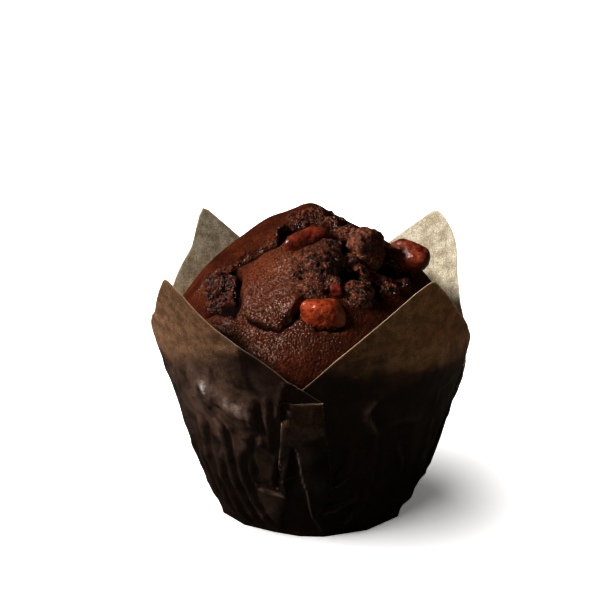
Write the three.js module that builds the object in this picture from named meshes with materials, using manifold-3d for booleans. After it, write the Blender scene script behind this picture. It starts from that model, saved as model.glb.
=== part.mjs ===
// A chocolate muffin with nuts, baked in a folded tulip paper.
// Millimetres, +Z up. The origin is the centre of the flat base, and -Y is the front.

import * as THREE from "three";
import { mergeVertices } from "three/addons/utils/BufferGeometryUtils.js";
import Module from "manifold-3d";

// Driving dimensions.
const BASE_RADIUS = 26; // outside of the paper where it meets the table
const WALL_LEAN = 16.9; // degrees that the paper wall leans out from upright
const PAPER = 0.4; // thickness of the paper
const GAP = 0.3; // between neighbouring pieces
const FOLD_TOP = 41.8; // slant height of the top of each folded pleat
const FOLD_POINT = 6.3; // slant height where a pleat closes to a point
const FOLD_RISE = 1.1; // how far the folded layers of a pleat stand out
const RIM_LOW = 45; // lowest slant height of the rim, between two petals
const CRUST_EDGE = 45; // height where the crust leaves the paper
const DOME_RISE = 32.4; // height of the plain dome over its edge
const MM_PER_DEGREE = 0.768; // along the rim, at the middle height of the petals

// The four petals of the rim: a tip at a slant height, and how steeply the edge falls on each side.
const PETALS = [
  { azimuth: -138, tip: 73.3, fallBefore: 1, fallAfter: 0.88, blunt: 3.5 },
  { azimuth: -54.9, tip: 74.2, fallBefore: 0.97, fallAfter: 0.73, blunt: 1 },
  { azimuth: 42, tip: 73.4, fallBefore: 0.97, fallAfter: 0.74, blunt: 1.5 },
  { azimuth: 129.2, tip: 72.2, fallBefore: 0.97, fallAfter: 1.1, blunt: 1 },
];

// Where the paper is folded over itself, one pleat between each pair of petals.
const PLEAT_AZIMUTHS = [-93, -8, 85, 171];

// Corners of the creased base, as azimuth in degrees and distance from the centre.
const BASE_CORNERS = [
  [-153.4, 25.3],
  [-111.8, 24.6],
  [-83.5, 26],
  [-32.3, 26],
  [8, 25.8],
  [52, 25.2],
  [96, 26],
  [150, 25.6],
];
const BASE_CREASE_HEIGHT = 20; // slant height over which the corners fade into the round wall

// Slant heights of the wall's rows, from the table to the top of the pleats.
const LOW_ROWS = [0.6, FOLD_POINT, 11, 15.5, 24, 33, FOLD_TOP - 0.4];

// Broad swellings and hollows of the crust: place, height and width.
const SWELLINGS = [
  { x: -0.5, y: 0, rise: 1.8, width: 4.5 },
  { x: -9, y: -21, rise: 1.2, width: 8 },
  { x: -23, y: -3, rise: 0.8, width: 8 },
  { x: -14, y: -12, rise: -1.4, width: 3.5 },
  { x: 14, y: -20, rise: -1.6, width: 4 },
  { x: 12, y: 6, rise: -1.2, width: 7 },
  { x: -12, y: 22, rise: 0.7, width: 8 },
];

// Rough lumps of crumb that rose out of the split crust.
const LUMPS = [
  { at: [1.5, -18.8, 66.6], size: [6.6, 5.6, 6.4], seed: 1 },
  { at: [10.4, -22, 61.5], size: [4, 3.6, 3.9], seed: 2 },
  { at: [19.4, -6, 65.6], size: [3.3, 3.6, 3.4], seed: 3 },
  { at: [4.5, 17, 68], size: [5, 4.4, 3.4], seed: 4 },
  { at: [-12, 18, 64.6], size: [4.6, 4, 3.2], seed: 5 },
  { at: [17, 21, 60.6], size: [4, 4.2, 3.3], seed: 6 },
];

// Nuts and chocolate, each set into the crumb. Turn is in degrees about Z, tip in degrees about X.
const INCLUSIONS = [
  {
    name: "nut_front", kind: "nut", at: [2.5, -27.4, 59.3],
    size: [5.3, 3.7, 3.8], turn: -4, tip: 8, seed: 11,
  },
  {
    name: "nut_right", kind: "nut", at: [25.6, -3.6, 66.2],
    size: [5.4, 4.1, 3.9], turn: 8, tip: 0, seed: 12,
  },
  {
    name: "nut_crack", kind: "nut", at: [-1.2, -12.4, 72.9],
    size: [5.6, 2.2, 2.6], turn: 17, tip: 0, seed: 13,
  },
  {
    name: "nut_upper", kind: "nut", at: [13.2, -10.4, 70],
    size: [4.7, 4.6, 5.2], turn: 30, tip: 0, seed: 14,
  },
  {
    name: "nut_sliver", kind: "nut", at: [5.6, -24.6, 64.2],
    size: [1.7, 1.9, 1.6], turn: 0, tip: 0, seed: 15,
  },
  {
    name: "nut_back_left", kind: "nut", at: [-6.5, 26.5, 62.2],
    size: [5, 3.6, 3.4], turn: -35, tip: -12, seed: 16,
  },
  {
    name: "nut_back_right", kind: "nut", at: [10, 27.5, 60],
    size: [4.7, 3.6, 3.4], turn: 20, tip: -15, seed: 17,
  },
  {
    name: "chunk_left", kind: "chocolate", at: [-21.6, -15, 61.2],
    size: [3.7, 3.4, 4.6], turn: 35, tip: 10, seed: 18,
  },
  {
    name: "chunk_back", kind: "chocolate", at: [-18, 26.5, 55.6],
    size: [3.9, 3.6, 3.6], turn: -30, tip: 0, seed: 19,
  },
];

const MATERIALS = {
  paper: { color: 0x3b2f24, roughness: 0.7, metalness: 0 },
  crumb: { color: 0x3a1a10, roughness: 0.85, metalness: 0 },
  nut: { color: 0x7a3420, roughness: 0.45, metalness: 0 },
  chocolate: { color: 0x1d0f0b, roughness: 0.35, metalness: 0 },
};

const lean = THREE.MathUtils.degToRad(WALL_LEAN);
const wasm = await Module();
wasm.setup();

// ---- Solids ----

// Only positions, with shared vertices merged, as the booleans need.
function bare(geometry) {
  geometry.deleteAttribute("normal");
  geometry.deleteAttribute("uv");
  return mergeVertices(geometry, 1e-4);
}

function solidOf(geometry) {
  const merged = bare(geometry);
  const vertProperties = new Float32Array(merged.attributes.position.array);
  const triVerts = new Uint32Array(merged.index.array);
  return new wasm.Manifold(new wasm.Mesh({ numProp: 3, vertProperties, triVerts }));
}

function geometryOf(solid) {
  const { vertProperties, triVerts } = solid.getMesh();
  const geometry = new THREE.BufferGeometry();
  geometry.setAttribute("position", new THREE.BufferAttribute(new Float32Array(vertProperties), 3));
  geometry.setIndex(new THREE.BufferAttribute(new Uint32Array(triVerts), 1));
  geometry.computeVertexNormals();
  return geometry;
}

// A closed body from rings of equal count, listed upwards along its outside, between two end points.
function ringBody(startPoint, rings, endPoint) {
  const count = rings[0].length;
  const points = [startPoint, ...rings.flat(), endPoint];
  const last = points.length - 1;
  const indices = [];
  for (let i = 0; i < count; i += 1) {
    const next = (i + 1) % count;
    indices.push(0, 1 + next, 1 + i);
    for (let r = 0; r < rings.length - 1; r += 1) {
      const low = 1 + r * count;
      const high = low + count;
      indices.push(low + i, low + next, high + next, low + i, high + next, high + i);
    }
    const top = 1 + (rings.length - 1) * count;
    indices.push(top + i, top + next, last);
  }
  const geometry = new THREE.BufferGeometry().setFromPoints(points);
  geometry.setIndex(indices);
  geometry.computeVertexNormals();
  return geometry;
}

// ---- The paper ----

// Signed difference of two azimuths in degrees, between -180 and 180.
function turnBetween(from, to) {
  return ((((to - from + 180) % 360) + 360) % 360) - 180;
}

function petalHeight(petal, azimuth) {
  const turn = turnBetween(petal.azimuth, azimuth);
  const fall = turn < 0 ? petal.fallBefore : petal.fallAfter;
  return petal.tip - fall * Math.hypot(turn * MM_PER_DEGREE, petal.blunt);
}

function rimHeight(azimuth) {
  return Math.max(RIM_LOW, ...PETALS.map((petal) => petalHeight(petal, azimuth)));
}

// Distance from the centre to the straight side of the creased base.
function baseRadius(azimuth) {
  const count = BASE_CORNERS.length;
  for (let i = 0; i < count; i += 1) {
    const [fromAzimuth, fromRadius] = BASE_CORNERS[i];
    const [toAzimuth, toRadius] = BASE_CORNERS[(i + 1) % count];
    const span = (toAzimuth - fromAzimuth + 360) % 360;
    const along = (azimuth - fromAzimuth + 720) % 360;
    if (along <= span) {
      const a = THREE.MathUtils.degToRad(along);
      const b = THREE.MathUtils.degToRad(span - along);
      return (fromRadius * toRadius * Math.sin(a + b)) / (fromRadius * Math.sin(a) + toRadius * Math.sin(b));
    }
  }
  return BASE_RADIUS;
}

function wallRadius(azimuth, slant) {
  const fade = Math.max(0, 1 - slant / BASE_CREASE_HEIGHT) ** 2;
  return BASE_RADIUS + slant * Math.sin(lean) - fade * (BASE_RADIUS - baseRadius(azimuth));
}

// Half the width of a pleat's kite outline: widest low down, narrower at the top, closing to a point.
function pleatHalfWidth(slant) {
  const widest = 6.8;
  const atTop = 4.7;
  const turnOver = 15.5;
  if (slant >= turnOver) {
    return THREE.MathUtils.lerp(widest, atTop, Math.min(1, (slant - turnOver) / (FOLD_TOP - turnOver)));
  }
  return THREE.MathUtils.lerp(0.7, widest, Math.max(0, (slant - FOLD_POINT) / (turnOver - FOLD_POINT)));
}

// The azimuth of each column at a slant height: close lines at the pleats, even steps between them.
function columnAzimuths(slant) {
  const across = [-1.12, -1, 0, 1, 1.12];
  const between = 11;
  const radius = BASE_RADIUS + slant * Math.sin(lean);
  const half = THREE.MathUtils.radToDeg(pleatHalfWidth(slant) / radius);
  return PLEAT_AZIMUTHS.flatMap((azimuth, i) => {
    const next = azimuth + ((turnBetween(azimuth, PLEAT_AZIMUTHS[(i + 1) % 4]) + 360) % 360);
    const pleat = across.map((u) => ({ azimuth: azimuth + u * half, folded: Math.abs(u) <= 1 }));
    const from = azimuth + 1.12 * half;
    const to = next - 1.12 * half;
    const plain = Array.from({ length: between }, (_, k) => ({
      azimuth: THREE.MathUtils.lerp(from, to, (k + 1) / (between + 1)),
      folded: false,
    }));
    return [...pleat, ...plain];
  });
}

function wallPoint(azimuth, slant, outward) {
  const angle = THREE.MathUtils.degToRad(azimuth);
  const radius = wallRadius(azimuth, slant) + outward * Math.cos(lean);
  const height = slant * Math.cos(lean) - outward * Math.sin(lean);
  return new THREE.Vector3(radius * Math.cos(angle), radius * Math.sin(angle), height);
}

// One ring of the wall: slant heights up to the pleat tops are level, those above reach for the rim.
function wallRing(slant, share, outward, foldRise) {
  return columnAzimuths(slant).map(({ azimuth, folded }) => {
    const top = THREE.MathUtils.lerp(slant, rimHeight(azimuth), share);
    return wallPoint(azimuth, top, outward + (folded ? foldRise : 0));
  });
}

// A level ring near the base, drawn in from its creased outline.
function floorRing(height, inset) {
  return columnAzimuths(0).map(({ azimuth }) => {
    const angle = THREE.MathUtils.degToRad(azimuth);
    const radius = baseRadius(azimuth) - inset;
    return new THREE.Vector3(radius * Math.cos(angle), radius * Math.sin(angle), height);
  });
}

function makeWrapper() {
  const highShares = [0.02, 0.25, 0.5, 0.75, 1];
  const rise = (slant) => (slant > FOLD_POINT ? FOLD_RISE : 0);
  const outside = LOW_ROWS.map((slant) => wallRing(slant, 0, 0, rise(slant)));
  const outsideHigh = highShares.map((share) => wallRing(FOLD_TOP, share, 0, 0));
  const insideHigh = highShares.map((share) => wallRing(FOLD_TOP, share, -PAPER, 0)).reverse();
  const inside = LOW_ROWS.slice(1).map((slant) => wallRing(slant, 0, -PAPER, 0)).reverse();
  const rings = [
    floorRing(0, 0.4),
    ...outside,
    ...outsideHigh,
    ...insideHigh,
    ...inside,
    floorRing(PAPER, 0.6),
  ];
  return ringBody(new THREE.Vector3(0, 0, 0), rings, new THREE.Vector3(0, 0, PAPER));
}

// ---- The crumb ----

// Height of the crust over a point: a pointed dome, steeper at its edge, with its swellings.
function crustHeight(x, y) {
  const edge = crumbRadius(CRUST_EDGE);
  const u = Math.hypot(x, y) / edge;
  const dome = CRUST_EDGE + DOME_RISE - 27.9 * u ** 1.7 - 4.5 * u ** 6;
  const fade = Math.max(0, 1 - u ** 4);
  const swell = SWELLINGS.reduce((sum, s) => {
    const away = Math.hypot(x - s.x, y - s.y) / s.width;
    return sum + s.rise * Math.exp(-away * away);
  }, 0);
  return dome + fade * swell;
}

// Outside of the crumb where it lies against the paper.
function crumbRadius(height) {
  return BASE_RADIUS + height * Math.tan(lean) - (PAPER + GAP) / Math.cos(lean);
}

function crustRing(radius) {
  return columnAzimuths(CRUST_EDGE / Math.cos(lean)).map(({ azimuth }) => {
    const angle = THREE.MathUtils.degToRad(azimuth);
    const x = radius * Math.cos(angle);
    const y = radius * Math.sin(angle);
    return new THREE.Vector3(x, y, crustHeight(x, y));
  });
}

function makeCrumbBody() {
  const floor = PAPER + GAP;
  const edge = crumbRadius(CRUST_EDGE);
  const shares = [1, 0.96, 0.91, 0.84, 0.75, 0.66, 0.56, 0.46, 0.36, 0.27, 0.18, 0.09];
  const rings = [
    floorRing(floor, PAPER + 2 * GAP),
    ...LOW_ROWS.slice(1).map((slant) => wallRing(slant, 0, -PAPER - GAP, 0)),
    ...shares.map((share) => crustRing(edge * share)),
  ];
  return ringBody(new THREE.Vector3(0, 0, floor), rings, new THREE.Vector3(0, 0, crustHeight(0, 0)));
}

// A rounded lump with a few soft bumps, grown by a margin where it makes room for a neighbour.
function lumpGeometry(size, seed, detail, margin = 0) {
  const geometry = bare(new THREE.IcosahedronGeometry(1, detail));
  const positions = geometry.attributes.position;
  const point = new THREE.Vector3();
  const grown = new THREE.Vector3(...size).addScalar(margin);
  for (let i = 0; i < positions.count; i += 1) {
    point.fromBufferAttribute(positions, i).normalize();
    const wave = Math.sin(2.1 * point.x + seed) * Math.cos(1.9 * point.y + 2 * seed);
    const ripple = Math.sin(3.7 * point.z + 1.3 * seed) * Math.cos(3.1 * point.x - seed);
    point.multiplyScalar(1 + 0.07 * wave + 0.05 * ripple);
    point.multiply(grown);
    positions.setXYZ(i, point.x, point.y, point.z);
  }
  return geometry;
}

function inclusionGeometry(inclusion, margin = 0) {
  const detail = inclusion.name === "nut_sliver" ? 2 : 3;
  const geometry = lumpGeometry(inclusion.size, inclusion.seed, detail, margin);
  geometry.rotateX(THREE.MathUtils.degToRad(inclusion.tip));
  geometry.rotateZ(THREE.MathUtils.degToRad(inclusion.turn));
  geometry.translate(...inclusion.at);
  return geometry;
}

function makeCrumb() {
  const body = solidOf(makeCrumbBody());
  const grown = LUMPS.reduce((sum, lump) => {
    const geometry = lumpGeometry(lump.size, lump.seed, 3);
    geometry.translate(...lump.at);
    return sum.add(solidOf(geometry));
  }, body);
  const socketed = INCLUSIONS.reduce(
    (left, inclusion) => left.subtract(solidOf(inclusionGeometry(inclusion, GAP + 0.1))),
    grown,
  );
  return geometryOf(socketed);
}

// ---- The muffin ----

function addPiece(group, name, geometry, kind) {
  const mesh = new THREE.Mesh(geometry, new THREE.MeshStandardMaterial(MATERIALS[kind]));
  mesh.name = name;
  group.add(mesh);
}

const muffin = new THREE.Group();
muffin.name = "muffin";
addPiece(muffin, "wrapper", makeWrapper(), "paper");
addPiece(muffin, "crumb", makeCrumb(), "crumb");
for (const inclusion of INCLUSIONS) {
  addPiece(muffin, inclusion.name, inclusionGeometry(inclusion), inclusion.kind);
}

export default muffin;
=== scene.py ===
"""A chocolate muffin with nuts in its split crust, baked in a folded tulip paper.

Shapes are worked out in millimetres, in the frame's own axes, and put into meshes in metres.
-Y is the front, +Z is up, and azimuths are degrees from +X towards +Y.
"""

import bpy
import numpy as np
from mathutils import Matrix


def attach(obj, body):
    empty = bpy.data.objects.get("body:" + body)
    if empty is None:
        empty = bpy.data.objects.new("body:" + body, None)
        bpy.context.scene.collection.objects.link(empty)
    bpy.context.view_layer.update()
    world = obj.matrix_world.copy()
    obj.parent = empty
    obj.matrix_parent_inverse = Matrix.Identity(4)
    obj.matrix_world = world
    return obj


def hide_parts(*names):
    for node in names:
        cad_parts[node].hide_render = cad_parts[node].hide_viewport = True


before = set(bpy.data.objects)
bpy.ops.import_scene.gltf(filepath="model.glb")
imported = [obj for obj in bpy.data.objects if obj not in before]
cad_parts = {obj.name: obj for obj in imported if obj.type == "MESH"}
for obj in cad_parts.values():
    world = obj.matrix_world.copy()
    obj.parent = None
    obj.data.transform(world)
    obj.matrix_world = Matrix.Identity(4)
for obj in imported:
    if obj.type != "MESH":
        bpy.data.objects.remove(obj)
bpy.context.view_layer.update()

import openvdb
from mathutils import Vector

MM = 0.001

# ---- The paper cup: driving sizes ----

BASE_RADIUS = 26.0
LEAN = np.radians(16.9)
PAPER_THICKNESS = 0.16
LAYER_STEP = 0.26
FOLD_TOP = 41.8
SEAT = -0.35  # how far the innermost layer lies inside the cup's outline

# Each petal's cut edge as azimuths and slant heights, from front right round to front left.
PETALS = [
    [(-96.0, 44.5), (-82.0, 54.4), (-54.5, 74.0), (-36.0, 61.2), (-22.0, 54.2), (-6.0, 42.0)],
    [
        (-10.0, 42.0), (17.0, 51.0), (25.5, 58.5), (28.5, 64.0), (32.5, 67.6), (37.5, 70.4), (43.5, 73.0),
        (61.0, 61.0), (88.0, 42.0),
    ],
    [(84.0, 42.0), (116.0, 62.0), (129.5, 73.0), (137.5, 62.5), (151.0, 55.5), (172.0, 42.0)],
    [(166.0, 42.0), (206.0, 59.0), (221.5, 72.0), (229.0, 67.4), (248.0, 56.4), (273.5, 42.6)],
]
TIP_ROUNDING = 1.3  # degrees

# Pleats: azimuth, width factor, order of the layers, flap columns, return columns and top of the flap.
LEFT_OVER = (2, 3, 4, 1, 0)
RIGHT_OVER = (0, 1, 4, 3, 2)
PLEATS = [
    (-93.0, 1.0, LEFT_OVER, 30, 9, 42.9),
    (-8.0, 0.9, LEFT_OVER, 16, 6, 41.8),
    (85.0, 1.0, RIGHT_OVER, 16, 6, 42.2),
    (171.0, 0.85, RIGHT_OVER, 16, 6, 41.6),
]
PANEL_COLUMNS = [108, 48, 46, 118]
WALL_ROWS = 100
FLOOR_RINGS = 4

# The flap of a pleat: slant heights of its lowest point and its widest place, and its half widths.
FLAP_POINT_AT = 6.3
FLAP_WIDEST_AT = 15.5
FLAP_POINT_HALF = 0.3
FLAP_WIDEST_HALF = 6.8
FLAP_TOP_HALF = 4.7
TUCK = 1.3  # how far below the fold the hidden layers end

# Corners of the creased base as azimuths and distances from the centre.
BASE_CORNERS = [
    (-153.4, 25.6), (-132.0, 25.6), (-111.8, 25.2), (-97.0, 26.0), (-83.5, 26.3), (-58.0, 26.2),
    (-32.3, 26.2), (8.0, 25.8), (52.0, 25.2), (96.0, 26.0), (150.0, 25.6),
]
BASE_CREASE_HEIGHT = 20.0

# ---- The muffin: driving sizes ----

CRUST_EDGE = 45.0
DOME_RISE = 32.4
DOME_FALL = 27.9  # lost on the long slope from the peak
SHOULDER_FALL = 4.5  # lost where the dome rounds over to its edge
CRUMB_SEAT = 0.7  # between the cup's outline and the crumb

# Voxels: fine in front and above, coarser behind BACK_FROM, and coarsest where the paper hides the wall.
FINE = 0.415
BACK_FROM = 3.0
BACK_STEP = 0.7
HIDDEN_BELOW = 42.0
HIDDEN_STEP = 4.0
VOXEL_REACH = 41.0
VOXEL_BOTTOM = -2.0
VOXEL_TOP = 82.0

CRUMB_BOTTOM = 1.0
RIM_ROUNDING = 1.6
LUMP_ROUNDING = 0.9
HOLLOW_ROUNDING = 0.6
RELIEF_BAND = 2.6  # only voxels this near the surface get the fine relief
FIELD_LIMIT = 2.0

# The paler part of the crust tongue: centre and reach.
PALE_AT = (-9.0, -18.5, 67.0)
PALE_REACH = (8.5, 9.0, 8.0)

# Broad swellings of the crust: x, y, rise, width.
SWELLINGS = [
    (-0.5, 0.0, 1.8, 4.5), (-9.0, -21.0, 1.2, 8.0), (-23.0, -3.0, 0.8, 8.0),
    (-14.0, -12.0, -1.4, 3.5), (14.0, -20.0, -1.6, 4.0), (12.0, 6.0, -1.2, 7.0),
    (-12.0, 22.0, 0.7, 8.0), (-11.0, 1.0, 0.9, 5.0),
]

# The long split under the upper crust, from left to right, as x and y.
SPLIT = [
    (-27.9, -8.9), (-25.2, -8.9), (-21.6, -10.1), (-18.3, -11.4), (-14.9, -10.7), (-11.2, -10.9),
    (-8.4, -11.6), (-7.4, -9.6), (-5.8, -7.7), (-3.0, -7.8), (0.2, -8.3), (3.9, -8.9), (6.4, -9.2),
]
SPLIT_DEPTH = [0.4, 1.3, 2.2, 2.7, 3.0, 3.1, 3.3, 3.5, 3.5, 3.4, 3.2, 2.0, 0.8]

# The lower edge of the crust tongue, its left edge, the gap under the chocolate chunk, and a short crack.
TONGUE_STEP = [(-16.5, -24.4), (-13.8, -27.3), (-10.6, -29.1), (-7.8, -30.0), (-5.2, -29.7), (-3.6, -28.2)]
TONGUE_SIDE = [(-18.3, -13.1), (-17.0, -16.6), (-17.5, -19.6), (-16.6, -22.0), (-17.8, -24.0)]
TONGUE_SIDE_DEPTH = [2.6, 3.4, 3.2, 2.2, 0.8]
CHUNK_GAP = [(-25.4, -18.6), (-22.0, -20.6), (-18.0, -23.1)]
CHUNK_GAP_DEPTH = [1.6, 3.0, 2.2]
TONGUE_CRACK = [(-12.3, -24.9), (-10.9, -25.1), (-9.8, -24.3)]

# Lumps of open crumb: centre, half sizes, and how rough each one is.
LUMPS = [
    ((1.8, -18.4, 66.8), (6.2, 6.0, 6.0), 1.0),
    ((3.6, -15.2, 70.4), (3.9, 3.4, 3.9), 1.0),
    ((-0.6, -16.6, 69.4), (3.8, 3.2, 3.2), 1.0),
    ((-3.8, -19.2, 66.8), (3.7, 4.2, 3.6), 0.35),
    ((4.4, -22.0, 64.8), (3.2, 3.0, 2.9), 1.0),
    ((0.4, -23.8, 63.6), (4.2, 2.8, 2.9), 0.7),
    ((10.6, -22.6, 61.9), (4.4, 3.6, 3.9), 1.0),
    ((13.2, -20.6, 62.4), (2.6, 2.6, 2.4), 1.0),
    ((9.0, -15.4, 68.6), (2.5, 2.3, 2.3), 1.0),
    ((11.6, -17.8, 65.9), (2.5, 2.3, 2.1), 1.0),
    ((19.6, -7.4, 66.0), (2.8, 2.8, 2.7), 1.0),
    ((-2.6, -4.6, 76.2), (3.2, 2.6, 2.1), 1.0),
    ((1.4, -3.4, 76.9), (3.0, 2.6, 2.1), 1.0),
    ((4.4, -2.2, 76.4), (1.7, 1.7, 1.6), 1.0),
    ((5.0, -5.6, 75.2), (2.6, 2.4, 2.1), 1.0),
    ((7.0, -2.8, 74.7), (1.4, 1.5, 1.4), 1.0),
    ((9.8, -4.4, 73.3), (1.7, 1.7, 1.5), 1.0),
    ((8.4, -7.8, 73.6), (2.8, 2.5, 2.2), 1.0),
    ((0.6, -7.0, 75.5), (4.4, 1.3, 1.2), 1.0),
    ((-24.6, -9.2, 62.9), (3.0, 0.8, 0.9), 0.4),
    ((-21.4, -11.0, 64.6), (2.0, 0.9, 0.9), 0.6),
    ((18.2, -17.0, 62.4), (3.0, 2.2, 1.7), 1.0),
    ((22.0, -12.6, 62.8), (2.6, 1.8, 1.5), 1.0),
    ((4.5, 17.0, 67.7), (5.0, 4.4, 3.4), 1.0),
    ((-12.0, 18.0, 64.2), (4.6, 4.0, 3.2), 1.0),
    ((17.0, 21.0, 60.2), (4.0, 4.2, 3.3), 1.0),
    ((1.0, 25.0, 62.6), (3.4, 2.6, 2.6), 1.0),
]

# Hollows between the lumps: centre and half sizes.
HOLLOWS = [
    ((-5.4, -9.6, 74.0), (3.6, 2.3, 2.9)),
    ((-2.0, -9.0, 75.0), (4.6, 1.5, 1.7)),
    ((7.6, -20.8, 66.0), (1.7, 3.0, 2.7)),
    ((15.4, -20.4, 62.6), (1.5, 2.6, 3.4)),
    ((17.4, -13.0, 65.9), (5.4, 2.7, 2.1)),
    ((24.4, -8.6, 63.6), (4.4, 2.2, 1.5)),
    ((-4.0, -29.6, 59.0), (1.3, 0.7, 0.9)),
    ((4.6, -31.4, 56.7), (4.2, 1.3, 1.1)),
    ((-21.6, -15.6, 61.0), (3.9, 3.8, 4.6)),
    ((8.4, -12.6, 71.0), (1.8, 2.8, 3.2)),
    ((9.6, -19.4, 65.2), (1.2, 1.6, 1.8)),
    ((12.4, -6.2, 72.6), (2.6, 1.6, 1.4)),
]

# ---- Light and camera ----

ROOM_LIGHT = 0.05
ROOM_COLOUR = (1.0, 0.88, 0.76)
ROOM_SEEN = 1.3  # added to the room's brightness where the camera sees it
LAMP_COLOUR = (1.0, 0.94, 0.87)
FLOOR_GLOW = 0.18  # keeps the floor white to the camera, without lighting the muffin
FLOOR_HALF_SIDE = 1500.0
CONTRAST = 0.8  # the picture's display gamma

CAMERA_ELEVATION = np.radians(17.24)
CAMERA_DISTANCE = 0.42573
CAMERA_AIM = (-0.00302, 0.0, 0.05391)
CAMERA_LENS = 100.0
CAMERA_SENSOR = 36.0

# ---- Numbers over whole arrays ----


def ease(low, high, value):
    """0 below low, 1 above high, and a smooth cubic between them."""
    share = np.clip((value - low) / (high - low), 0.0, 1.0)
    return share * share * (3.0 - 2.0 * share)


def lattice_noise(points, cell, seed):
    """Random values on a cubic lattice, blended between the eight corners around each point, in -1..1."""
    side = 32
    lattice = np.random.default_rng(seed).uniform(-1.0, 1.0, side ** 3).astype(np.float32)
    place = points / cell + 7.3 * seed
    low = np.floor(place)
    part = (place - low).astype(np.float32)
    blend = part * part * part * (part * (6.0 * part - 15.0) + 10.0)
    low = low.astype(np.int64)
    total = np.zeros(len(points), np.float32)
    for dx in (0, 1):
        for dy in (0, 1):
            for dz in (0, 1):
                corner = (low + (dx, dy, dz)) % side
                weight = np.ones(len(points), np.float32)
                for axis, step in enumerate((dx, dy, dz)):
                    weight *= blend[:, axis] if step else 1.0 - blend[:, axis]
                total += weight * lattice[(corner[:, 0] * side + corner[:, 1]) * side + corner[:, 2]]
    return total


def grain_distance(points, cell, seed):
    """Distance to the nearest of one random seed point per lattice cell, as a share of the cell."""
    side = 24
    seeds = np.random.default_rng(seed).uniform(0.1, 0.9, (side ** 3, 3)).astype(np.float32)
    place = (points / cell + 5.1 * seed).astype(np.float32)
    low = np.floor(place)
    nearest = np.full(len(points), 9.0, np.float32)
    for dx in (-1, 0, 1):
        for dy in (-1, 0, 1):
            for dz in (-1, 0, 1):
                cell_at = low + (dx, dy, dz)
                index = cell_at.astype(np.int64) % side
                seed_at = cell_at + seeds[(index[:, 0] * side + index[:, 1]) * side + index[:, 2]]
                nearest = np.minimum(nearest, ((place - seed_at) ** 2).sum(1))
    return np.sqrt(nearest)


def turn_from(middle, azimuth):
    """Signed turn from one azimuth to others, in -180..180 degrees."""
    return (azimuth - middle + 180.0) % 360.0 - 180.0


def path_distance(x, y, path):
    """Distance to a path of straight pieces, positive on its left, and how far along its points that is."""
    nearest = np.full(np.shape(x), 1e9)
    signed = np.zeros(np.shape(x))
    along = np.zeros(np.shape(x))
    for i, ((ax, ay), (bx, by)) in enumerate(zip(path[:-1], path[1:])):
        dx, dy = bx - ax, by - ay
        share = np.clip(((x - ax) * dx + (y - ay) * dy) / (dx * dx + dy * dy), 0.0, 1.0)
        off_x, off_y = x - ax - share * dx, y - ay - share * dy
        distance = np.hypot(off_x, off_y)
        closer = distance < nearest
        side = np.where(dx * (y - ay) - dy * (x - ax) >= 0, 1.0, -1.0)
        signed = np.where(closer, side * distance, signed)
        along = np.where(closer, i + share, along)
        nearest = np.minimum(nearest, distance)
    return signed, along


# ---- Meshes and attributes ----

def make_mesh(name, points_mm, faces, material, attributes=None, triangles=None):
    """A piece from whole arrays: points in millimetres, faces of four, and optional faces of three."""
    mesh = bpy.data.meshes.new(name)
    quads = np.asarray(faces, np.int32).reshape(-1, 4)
    tris = np.zeros((0, 3), np.int32) if triangles is None else np.asarray(triangles, np.int32).reshape(-1, 3)
    mesh.vertices.add(len(points_mm))
    mesh.vertices.foreach_set("co", np.ascontiguousarray(points_mm * MM, np.float32).ravel())
    corners = np.concatenate([quads.ravel(), tris.ravel()])
    starts = np.concatenate([np.arange(len(quads)) * 4, len(quads) * 4 + np.arange(len(tris)) * 3])
    mesh.loops.add(len(corners))
    mesh.loops.foreach_set("vertex_index", corners)
    mesh.polygons.add(len(starts))
    mesh.polygons.foreach_set("loop_start", starts.astype(np.int32))
    mesh.update(calc_edges=True)
    mesh.validate()
    mesh.polygons.foreach_set("use_smooth", np.ones(len(mesh.polygons), bool))
    for key, values in (attributes or {}).items():
        layer = mesh.attributes.new(key, "FLOAT", "POINT")
        layer.data.foreach_set("value", np.ascontiguousarray(values, np.float32))
    mesh.materials.append(material)
    piece = bpy.data.objects.new(name, mesh)
    bpy.context.scene.collection.objects.link(piece)
    return piece


# ---- Shader helpers ----

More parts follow.
